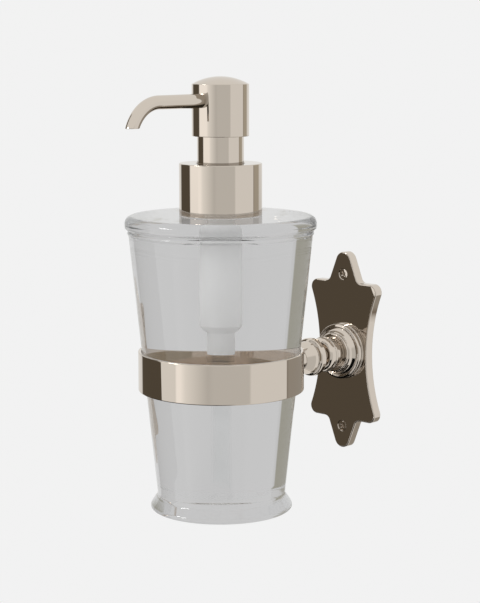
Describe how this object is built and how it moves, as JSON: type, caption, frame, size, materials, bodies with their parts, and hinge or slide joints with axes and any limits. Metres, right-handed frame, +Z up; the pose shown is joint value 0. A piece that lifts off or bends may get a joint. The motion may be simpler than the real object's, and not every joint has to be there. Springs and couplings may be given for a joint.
{
  "type": "wall mounted soap dispenser",
  "caption": "Wall mounted soap dispenser: tapered glass bottle with a metal lotion pump and curved spout, held in a ring on a turned arm and ornamental wall plate.",
  "frame": {"origin": "on the flat back of the wall plate, on the axis of the arm, midway between the two wall fixings", "axes": "+Y into the wall, +Z up, +X to the right when facing the wall; the bottle stands in front of the wall on a vertical axis at y = -0.077 m and the spout points to -Y"},
  "size_m": [0.0742, 0.1299, 0.1687],
  "materials": {
    "nickel": "polished nickel",
    "glass": "clear, thick",
    "white_plastic": "moulded",
    "tube_plastic": "translucent",
    "seal": "soft",
    "steel": "drawn wire",
    "brass": "turned"
  },
  "bodies": {
    "bracket": {"backplate": "nickel", "wall_screws": "nickel", "arm_stud": "brass", "rosette": "nickel", "turned_post": "nickel", "knob": "nickel", "ring_stub": "nickel", "ring_band": "nickel"},
    "bottle": {"bottle": "glass"},
    "pump": {"pump_housing": "white_plastic", "guide_bush": "white_plastic", "neck_gasket": "seal", "dip_tube": "tube_plastic", "return_spring": "steel"},
    "closure": {"collar_shell": "nickel", "closure_liner": "white_plastic"},
    "plunger": {"piston": "seal"},
    "head": {"stem": "white_plastic", "head_core": "white_plastic", "head_shell": "nickel", "neck_sleeve": "nickel", "spout": "nickel"},
    "inlet_valve": {"inlet_ball": "steel"},
    "outlet_valve": {"outlet_ball": "steel"}
  },
  "joints": [
    {"name": "bottle_lift", "type": "slide", "parent": "bracket", "child": "bottle", "axis": [0, 0, 1], "range_m": [0, 0.07]},
    {"name": "pump_lift", "type": "slide", "parent": "bottle", "child": "pump", "axis": [0, 0, 1], "range_m": [0, 0.13]},
    {"name": "collar_turn", "type": "hinge", "parent": "pump", "child": "closure", "pos_m": [0, -0.07701, 0.0728], "axis": [0, 0, 1], "range_deg": [0, 540]},
    {"name": "head_press", "type": "slide", "parent": "pump", "child": "plunger", "axis": [0, 0, -1], "range_m": [0, 0.0095], "stiffness_N_per_m": 600, "springref_m": -0.008, "deforming": ["return_spring"]},
    {"name": "head_swivel", "type": "hinge", "parent": "plunger", "child": "head", "pos_m": [0, -0.07701, 0.1068], "axis": [0, 0, 1], "continuous": true},
    {"name": "inlet_valve_lift", "type": "slide", "parent": "pump", "child": "inlet_valve", "axis": [0, 0, 1], "range_m": [0, 0.0012]},
    {"name": "outlet_valve_lift", "type": "slide", "parent": "head", "child": "outlet_valve", "axis": [0, 0, 1], "range_m": [0, 0.0012]}
  ]
}
